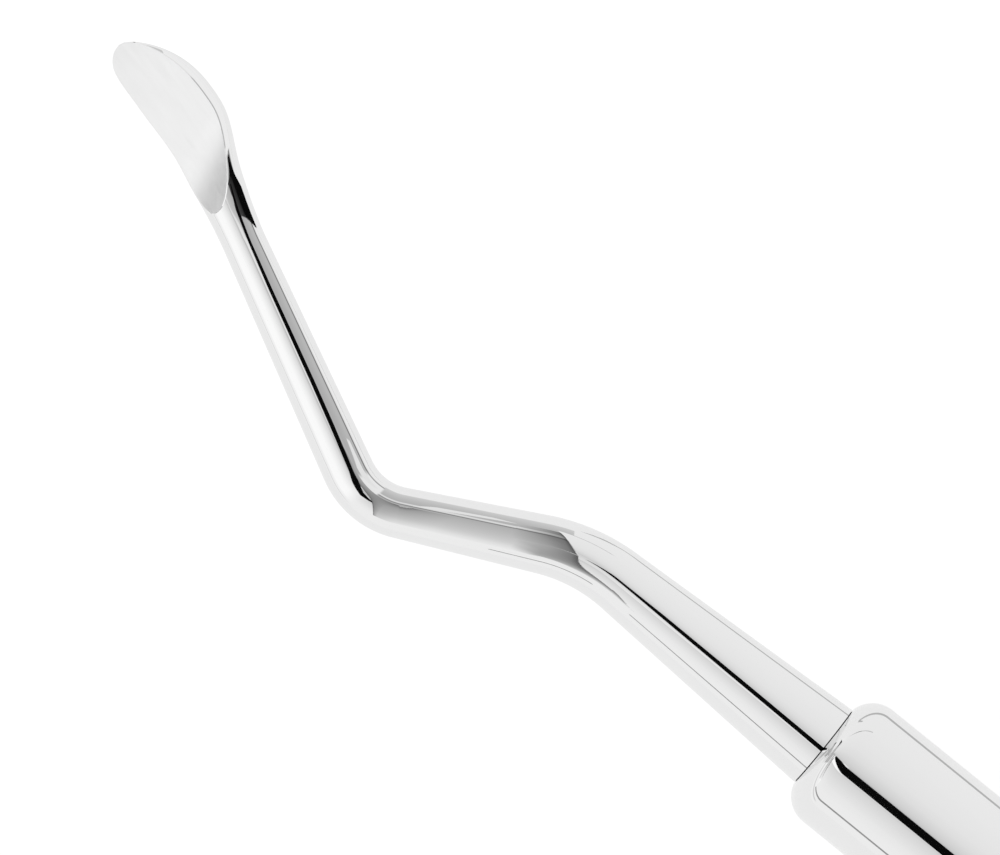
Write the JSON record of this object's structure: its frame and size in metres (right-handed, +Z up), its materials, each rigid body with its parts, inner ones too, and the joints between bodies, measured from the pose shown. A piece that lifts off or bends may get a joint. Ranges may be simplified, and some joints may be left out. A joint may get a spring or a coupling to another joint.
{
  "type": "dental elevator",
  "caption": "Bent dental elevator: spoon-backed blade with a ground face, double-bent tapered shank, round ferrule and hollow flatted steel handle.",
  "frame": {"origin": "middle of the lowest flat of the grip, which the instrument rests on", "axes": "+X along the handle towards the blade, +Z up, out of the blade's ground face, +Y to the side that the shank bends to first"},
  "size_m": [0.1643, 0.0148, 0.0124],
  "materials": {
    "polished_steel": "mirror polished stainless steel; the blade's ground face is satin",
    "satin_steel": "satin stainless steel with fine lengthwise lines",
    "braze": "polished flush silver braze",
    "pin_steel": "plain drawn steel, hidden"
  },
  "bodies": {
    "root": {"working_end": "polished_steel", "front_ferrule": "polished_steel", "tang_pin": "pin_steel", "tang_braze_ring": "braze", "grip_shell": "satin_steel", "front_seam_braze_ring": "braze", "rear_seam_braze_ring": "braze", "rear_plug": "polished_steel"}
  },
  "joints": []
}
